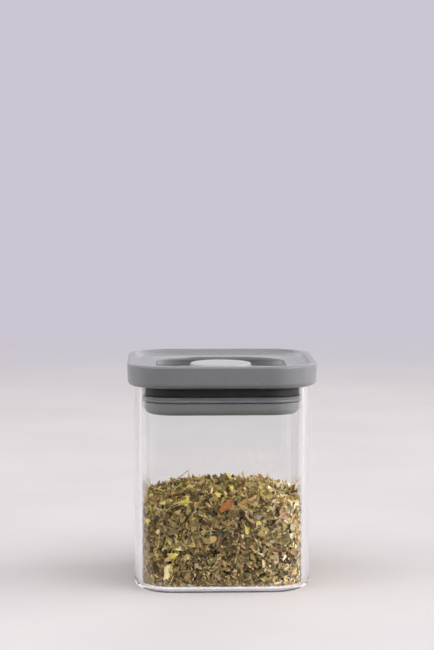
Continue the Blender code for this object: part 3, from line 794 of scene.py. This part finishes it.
def flakeSolid(place, facing, tilt, length, width, limit, rows=4, columns=3, heading=None):
    # each flake is a small patch: torn outline, folded on its midrib, curled along it, with a thin edge round
    count, spots = len(place), rows * columns
    along, across = np.meshgrid(np.linspace(-1, 1, rows), np.linspace(-1, 1, columns), indexing="ij")
    along, across = along.ravel()[None], across.ravel()[None]
    normal = unit(facing + tilt * chance.normal(size=(count, 3)))
    side = unit(np.cross(normal, chance.normal(size=(count, 3)) if heading is None else heading))
    forward = np.cross(side, normal)
    tips = np.where(np.abs(along) > flake["tipFrom"], flake["tipWidth"], 1.0)
    torn = chance.uniform(*flake["torn"], (count, spots)) * tips
    x = length[:, None] * (along + chance.uniform(-flake["slide"], flake["slide"], (count, spots)))
    y = width[:, None] * (across * torn + chance.uniform(-flake["offset"], flake["offset"], (count, 1)))
    fold, curl, twist = chance.normal(0, flake["bend"], (3, count, 1))
    z = width[:, None] * (fold * np.abs(across) * torn + twist * along * across)
    z = z + length[:, None] * curl * along ** 2
    middle = place[:, None] + x[..., None] * forward[:, None]
    middle += y[..., None] * side[:, None] + z[..., None] * normal[:, None]
    middle = insideGlass(middle, limit[:, None])
    thick = normal[:, None] * chance.uniform(*flake["halfThick"], (count, 1, 1)) * mm
    points = np.concatenate([middle + thick, middle - thick], 1)
    start = (np.arange(count) * 2 * spots)[:, None, None]
    quads = (patchFaces(rows, columns)[None] + start).reshape(-1, 4)
    return points.reshape(-1, 3), quads, np.zeros((0, 3), int)


def withKinds(mesh, kind, shade):
    # one kind and one shade for each item, carried by all its points
    perItem = len(mesh.vertices) // len(kind)
    for key, values in (("kind", kind), ("shade", shade)):
        spread = np.repeat(values, perItem).astype(np.float32)
        mesh.attributes.new(key, "FLOAT", "POINT").data.foreach_set("value", spread)
    return mesh


def mixedKinds(place, shares):
    # kinds drawn in given shares from the ramp's places, and shades that leave some flakes in the dark;
    # painted light makes the flakes on the right side of the jar paler, and painted shade darkens those at
    # its foot
    places, count = np.array([spot for spot, shown in leafKinds]), len(place)
    kind = chance.choice(places, count, p=np.array(shares) / sum(shares))
    kind = kind + chance.normal(0, herbs["kindWander"], count)
    across = np.array(herbs["paintedLightAcross"]) * mm
    # painted light: flakes towards the right side are lit paler
    paintedRightLight = herbs["paintedLightMost"] * np.interp(place[:, 0], across, herbs["paintedLightShares"])
    # painted shade: flakes near the herbs' foot are darker
    footShade = herbs["footShadeMost"] * np.exp((herbs["floor"] - place[:, 2]) / herbs["footShadeRise"])
    shade = chance.uniform(*herbs["shades"], count) * (1 + paintedRightLight) * (1 - footShade)
    return kind, np.minimum(shade, herbs["palest"])


wallLeaf = {
    "below": 0.4 * mm,  # how far under the heap's top the highest ones lie
    "sink": 1,  # over 1 it gathers them further down
    "sizes": (3.2, 0.34),  # shape and scale of the draw of half lengths, in millimetres
    "least": 0.34,
    "lowSize": 0.72,  # sizes at the floor, and how much more they are at the top
    "highMore": 0.45,
    "widths": (0.3, 0.5, 0.65, 0.8),  # four to choose from, or two to draw between
    "tilt": 0.7,
    "grid": (4, 3),
}
crumb = {
    "below": 0, "sink": 1.5, "sizes": (3.0, 0.12), "least": 0.16, "lowSize": 1, "highMore": 0,
    "widths": (0.35, 0.9), "tilt": 0.8, "grid": (3, 2)}


def flakesByGlass(name, count, depths, sort):
    # flakes between two depths in millimetres behind the glass, from the floor to near the heap's top, each
    # more or less flat to the glass
    plan, normal = onWall(count, herbs["wallLimit"] - chance.uniform(*depths, count) * mm)
    top = heapHeight(plan) - sort["below"]
    rise = chance.random(count)
    place = np.column_stack([plan, herbs["floor"] + (top - herbs["floor"]) * rise ** sort["sink"]])
    facing = np.column_stack([normal, np.zeros(count)])
    grown = sort["lowSize"] + sort["highMore"] * rise
    length = (chance.gamma(*sort["sizes"], count) + sort["least"]) * grown * mm
    widths = sort["widths"]
    width = length * (chance.choice(widths, count) if len(widths) > 2 else chance.uniform(*widths, count))
    limit = herbs["wallLimit"] - chance.uniform(*herbs["wallSlack"], count) * mm
    solid = flakeSolid(place, facing, sort["tilt"], length, width, limit, *sort["grid"])
    return withKinds(meshOf(name, solid, flake["sharpAngle"]), *mixedKinds(place, wallShares))


topLeaf = {
    "inset": 0.6 * mm, "heights": (-1.5, 0.35), "tilt": 0.5, "sizes": (3.4, 0.3), "least": 0.35, "most": 2.3,
    "widths": [0.25, 0.45, 0.6, 0.8], "paintedTopLight": 1.1, "markedTilt": 0.02}
markedFlakes = [
    # place in millimetres, facing, heading, half length and half width in millimetres, kind and shade
    ((-15.3, -29.8, 34.5), (0, -0.9, 0.4), (1, 0, 0.02), 4.0, 1.1, 0.7, 1.05),
    ((-0.6, -26.0, 36.1), (0, -0.7, 0.7), (1, 0, -0.6), 2.4, 0.9, 0.75, 1.25),
    ((1.4, -30.1, 33.4), (0, -1, 0.1), (1, 0, 0.8), 3.3, 1.5, 0.97, 1.0),
]


def topFlakes(name, count):
    # loose flakes on the heap, and the marked larger ones that stand out by the front glass
    spots, facings, headings, lengths, widths, kinds, shades = zip(*markedFlakes)
    marked = slice(-len(markedFlakes), None)
    spread = herbs["wallLimit"] - topLeaf["inset"]
    plan = chance.uniform(-spread, spread, (count * 2, 2))
    plan = plan[squareDistance(plan) < spread][:count]
    height = heapHeight(plan) + chance.uniform(*topLeaf["heights"], len(plan)) * mm
    place = np.concatenate([np.column_stack([plan, height]), np.array(spots) * mm])
    facing = np.tile([0.0, 0.0, 1.0], (len(place), 1))
    tilt = np.full((len(place), 1), topLeaf["tilt"])
    heading = chance.normal(size=(len(place), 3))
    length = np.minimum(chance.gamma(*topLeaf["sizes"], len(place)) + topLeaf["least"], topLeaf["most"]) * mm
    width = length * chance.choice(topLeaf["widths"], len(place))
    facing[marked], heading[marked], tilt[marked] = facings, headings, topLeaf["markedTilt"]
    length[marked], width[marked] = np.array(lengths) * mm, np.array(widths) * mm
    limit = np.full(len(place), herbs["wallLimit"])
    solid = flakeSolid(place, facing, tilt, length, width, limit, heading=heading)
    kind, shade = mixedKinds(place, topShares)
    # painted light: flakes on top of the heap are lit a tenth brighter
    shade *= topLeaf["paintedTopLight"]
    kind[marked], shade[marked] = kinds, shades
    return withKinds(meshOf(name, solid, flake["sharpAngle"]), kind, shade)


stalk = {
    "rows": 4, "sides": 5, "depths": (0.3, 1.6), "offFloor": 1 * mm, "underCrown": 4 * mm, "inset": 3 * mm,
    "heights": (-0.6, 0.5), "tilt": 0.15, "halfLengths": (0.9, 2.8), "radii": (0.1, 0.24), "bend": 0.12,
    "wallGap": 0.3 * mm, "kindBeta": (2.0, 2.0), "shades": (0.6, 1.1),
    "cornerPart": 3,  # one in this many of those by the glass goes to the front right corner
    "lastPlace": (-15.3, 18.0, 36.6), "lastHeading": (0.8, 0, 0.6), "lastHalf": 3.6 * mm,  # at the top left
}


def stalkPieces(name, count):
    # short stalks: five-sided tubes on a gently bent line, half of them on top and half by the glass
    rows, sides, wall = stalk["rows"], stalk["sides"], count // 2
    plan, normal = onWall(wall, herbs["wallLimit"] - chance.uniform(*stalk["depths"], wall) * mm)
    moved, corner = slice(wall // stalk["cornerPart"]), (1, -1)
    plan[moved], normal[moved] = np.abs(plan[moved]) * corner, np.abs(normal[moved]) * corner
    height = chance.uniform(herbs["floor"] + stalk["offFloor"], herbs["crown"] - stalk["underCrown"], wall)
    spread = herbs["wallLimit"] - stalk["inset"]
    loose = chance.uniform(-spread, spread, (count - wall, 2))
    above = heapHeight(loose) + chance.uniform(*stalk["heights"], count - wall) * mm
    place = np.concatenate([np.column_stack([plan, height]), np.column_stack([loose, above])])
    place[-1] = np.array(stalk["lastPlace"]) * mm
    upward = np.tile([0.0, 0.0, 1.0], (count - wall, 1))
    facing = np.concatenate([np.column_stack([normal, np.zeros(wall)]), upward])
    along = np.cross(facing, chance.normal(size=(count, 3)))
    along = unit(along + stalk["tilt"] * chance.normal(size=(count, 3)))
    along[-1] = stalk["lastHeading"]
    across = unit(np.cross(along, chance.normal(size=(count, 3))))
    other = np.cross(along, across)
    half = chance.uniform(*stalk["halfLengths"], (count, 1, 1)) * mm
    half[-1] = stalk["lastHalf"]
    step = np.linspace(-1, 1, rows)[None, :, None]
    bend = chance.normal(0, stalk["bend"], (count, 1, 1))
    line = place[:, None] + half * (step * along[:, None] + bend * step ** 2 * across[:, None])
    radius = chance.uniform(*stalk["radii"], (count, 1, 1)) * mm
    line = insideGlass(line, np.broadcast_to(herbs["wallLimit"] - stalk["wallGap"], line.shape[:2]))
    turn = (np.arange(sides) * 2 * np.pi / sides)[None, None, :, None]
    ring = np.cos(turn) * across[:, None, None] + np.sin(turn) * other[:, None, None]
    points = line[:, :, None] + radius[..., None] * ring
    fan = np.arange(1, sides - 1)
    low = np.stack([fan * 0, fan + 1, fan], -1)
    ends = np.concatenate([low, np.stack([fan * 0, fan, fan + 1], -1) + (rows - 1) * sides])
    start = (np.arange(count) * rows * sides)[:, None, None]
    quads = (gridFaces(rows, sides, False)[None] + start).reshape(-1, 4)
    mesh = meshOf(name, (points.reshape(-1, 3), quads, (ends[None] + start).reshape(-1, 3)), sharpAngle=60)
    return withKinds(mesh, chance.beta(*stalk["kindBeta"], count), chance.uniform(*stalk["shades"], count))


core = {
    "inset": 2.6 * mm,  # behind the flakes' limit at the glass
    "drop": 1.9 * mm,  # under the heap's own top
    "lift": 0.4 * mm,  # over the herbs' floor
    "shoulder": 3 * mm,  # its upright side ends this far under the heap's edge
    "footRound": 2 * mm,
    "centreShare": 0.62,  # small outlines turn their corners about this share of their half width
}


def herbCore(given):
    # the dark inside of the heap, painted shade between the flakes: the jar's inner shape drawn in, under the
    # heap's own top
    half, floor = herbs["wallLimit"] - given["inset"], herbs["floor"] + given["lift"]
    edge = herbs["crown"] - herbs["cornerDrop"]
    corners = [(poleHalf, floor), (half, floor), (half, edge - given["shoulder"])]
    side = rounded(corners, [given["footRound"]], steps=6)
    inward = np.linspace(half, poleHalf, 18)[1:]
    profile = np.concatenate([side, np.stack([inward, np.full(len(inward), edge)], -1)])
    grid = squareGrid(profile, np.minimum(cornerCentre, profile[:, 0] * given["centreShare"]))
    top = heapHeight(grid) - given["drop"]
    grid[len(side):, :, 2] = top[len(side):]
    return withKinds(meshOf("herbCore", gridSolid(grid), sharpAngle=60), np.full(1, 0.5), np.ones(1))


leaf = driedLeaf("crushedLeaf", leafKinds)
piece(herbCore(core), driedLeaf("herbShade", coreKinds, roughness=0.9), "jar", "herbs", "herb_fill")
piece(flakesByGlass("herbsAgainstGlass", herbs["wallFlakes"], (0.1, 1.1), wallLeaf), leaf, "jar", "herbs")
piece(flakesByGlass("herbsBehind", herbs["wallFlakes"], (0.9, 2.4), wallLeaf), leaf, "jar", "herbs")
piece(flakesByGlass("herbCrumbs", herbs["crumbs"], (0.05, 1.4), crumb), leaf, "jar", "herbs")
piece(topFlakes("herbsOnTop", herbs["topFlakes"]), leaf, "jar", "herbs")
stalks = stalkPieces("herbStalks", herbs["stalks"])
piece(stalks, driedLeaf("dryStalk", stalkKinds, roughness=0.6), "jar", "herbs")
print("herbs poured")


# The floor, the light and the camera.

studio = {
    "floor": (215, 210, 210),
    "floorTones": [(0.3, (210, 205, 206)), (0.7, (218, 213, 213))],
    "floorCloud": 9.0, "floorRoughness": 0.6, "floorSpecular": 0.08,
    "floorEdges": (-12, 12, -4, 16),  # left, right, near and far, in metres
    "room": (203, 197, 209),
    "fade": (0.45, 1.05),  # metres behind the jar between which the floor melts into the room
    "roomLight": 0.36,
    "roomTint": (1.0, 0.99, 1.0, 1.0),
    "nearSide": (70, 68, 68),  # what mirrors show of the side the photo was taken from
    "nearHeading": (-0.86, -0.97),  # mirrored directions between which the room turns into it
    "tableEdge": -0.036,
    "edgeFade": 0.025,
    "footGlow": 0.95,  # light that the glass base gathers onto the floor, against open floor
    "footHalf": 31.0 * mm,
    "glowFade": 1.5 * mm,
}


def plainLight(tree, kind, colour):
    # a light of one colour at full strength
    return addNode(tree, kind, {"Color": screenColour(*colour), "Strength": 1.0}).outputs[0]


def palePlane(given):
    # a matt floor that melts into the room far behind the jar and is mirrored dim on the near side; under the
    # glass it glows within a rounded square, the length of a folded place past the corner centre
    left, right, near, far = given["floorEdges"]
    mesh = bpy.data.meshes.new("paleFloor")
    mesh.from_pydata([(left, near, 0), (right, near, 0), (right, far, 0), (left, far, 0)], [], [(0, 1, 2, 3)])
    made, tree, shader = startMaterial("paleFloor")
    place = addNode(tree, "TexCoord").outputs["Object"]
    centre, vectorMath = (cornerCentre, cornerCentre, 0), "VectorMath"
    folded = addNode(tree, vectorMath, {0: place}, operation="ABSOLUTE").outputs[0]
    past = addNode(tree, vectorMath, {0: folded, 1: centre}, operation="SUBTRACT").outputs[0]
    outside = addNode(tree, vectorMath, {0: past, 1: (0, 0, 0)}, operation="MAXIMUM").outputs[0]
    reach = addNode(tree, vectorMath, {0: outside}, operation="LENGTH").outputs["Value"]
    footEdge = given["footHalf"] - cornerCentre
    setInputs(tree, shader, {
        "Base Color": ramp(tree, noise(tree, given["floorCloud"], 3.0), given["floorTones"]),
        "Roughness": given["floorRoughness"],
        "Specular IOR Level": given["floorSpecular"],
        "Emission Color": screenColour(*given["floor"]),
        "Emission Strength": rescaled(
            tree, reach, (footEdge, footEdge - given["glowFade"]), (0.0, given["footGlow"]))})
    depth = addNode(tree, "SeparateXYZ", {0: place}).outputs["Y"]
    fade = rescaled(tree, depth, given["fade"], smooth=True)
    tableEdge = given["tableEdge"]
    nearer = rescaled(tree, depth, (tableEdge, tableEdge - given["edgeFade"]), smooth=True)
    rays = addNode(tree, "LightPath").outputs
    seen = {0: nearer, 1: rays["Is Reflection Ray"]}
    mirrored = addNode(tree, "Math", seen, operation="MULTIPLY").outputs[0]
    surface = mixShaders(tree, fade, shader.outputs[0], plainLight(tree, "Emission", given["room"]))
    surface = mixShaders(tree, mirrored, surface, plainLight(tree, "Emission", given["nearSide"]))
    tree.links.new(surface, tree.nodes["Material Output"].inputs["Surface"])
    mesh.materials.append(made)
    floor = placed("paleFloor", mesh)


def roomAround(given):
    # the eye, reflections and glass see the pale room; matt surfaces get a plain even light from it,
    # and the side that the photo was taken from is mirrored dim
    world = bpy.data.worlds.new("paleRoom")
    world.use_nodes = True
    tree = world.node_tree
    even = tree.nodes["Background"]
    setInputs(tree, even, {"Color": given["roomTint"], "Strength": given["roomLight"]})
    heading = addNode(tree, "TexCoord").outputs["Generated"]
    ahead = addNode(tree, "SeparateXYZ", {0: heading}).outputs["Y"]
    nearer = rescaled(tree, ahead, given["nearHeading"], smooth=True)
    seen = plainLight(tree, "Background", given["room"])
    dim = plainLight(tree, "Background", given["nearSide"])
    rays = addNode(tree, "LightPath").outputs
    surface = mixShaders(tree, rays["Is Diffuse Ray"], mixShaders(tree, nearer, seen, dim), even.outputs[0])
    tree.links.new(surface, tree.nodes["World Output"].inputs["Surface"])
    bpy.context.scene.world = world


def softbox(name, place, target, size, watts, mirrored):
    # a soft lamp out of the eye's sight; a mirrored one only shows in glass and gloss, the others only light
    light = bpy.data.lights.new(name, "AREA")
    light.shape = "RECTANGLE"
    light.size, light.size_y = size
    light.energy = watts
    made = placed(name, light)
    made.visible_camera = made.visible_transmission = False
    made.visible_glossy, made.visible_diffuse = mirrored, not mirrored
    made.location = place
    aim = np.array(target) - np.array(place)
    made.rotation_euler = (math.atan2(math.hypot(aim[0], aim[1]), -aim[2]), 0, math.atan2(-aim[0], aim[1]))


lamps = [
    # name, place, target, width and height, watts, and whether it is a mirrored one
    ("overhead", (0, -0.36, 1.2), (0, 0, 0.04), (1.0, 1.0), 6.4, False),
    ("rightWindow", (3.0, -0.62, 0.92), (0, 0, 0.1), (4.5, 1.75), 169.0, False),
    ("leftWindow", (-3.0, -0.62, 0.92), (0, 0, 0.1), (4.5, 1.75), 78.0, False),
    ("rightStrip", (0.86, 0.29, 0.25), (0, 0, 0.05), (0.05, 0.5), 0.22, True),
    ("leftStrip", (-0.86, 0.29, 0.25), (0, 0, 0.05), (0.06, 0.5), 0.3, True),
    ("backPanel", (0, 1.3, 0.85), (0, 0, 0.08), (2.4, 0.9), 6.0, True),
    ("rightVeil", (1.88, -1.5, 0.75), (0, 0, 0.1), (2.25, 2.25), 59.0, True),
    ("leftVeil", (-1.88, -1.5, 0.75), (0, 0, 0.1), (2.25, 2.25), 12.5, True),
]
palePlane(studio)
roomAround(studio)
for lamp in lamps:
    softbox(*lamp)

view = {
    "distance": 0.75,
    "height": 161.2 * mm,
    "pitch": 4.0,
    "turn": 1.71,  # degrees that the jar stands turned against the photo's line of sight
    "lens": 107.42,
    "sensor": 36.0,
    "shift": (-0.0056, -0.0409),
}
camera = bpy.data.cameras.new("photoView")
camera.lens, camera.sensor_width = view["lens"], view["sensor"]
camera.shift_x, camera.shift_y = view["shift"]
eye = placed("photoView", camera)
turned, distance = math.radians(view["turn"]), view["distance"]
eye.location = (-distance * math.sin(turned), -distance * math.cos(turned), view["height"])
eye.rotation_euler = (math.radians(90 - view["pitch"]), 0, -turned)
bpy.context.scene.camera = eye
bpy.context.scene.view_settings.view_transform = "Standard"
print("studio lit")
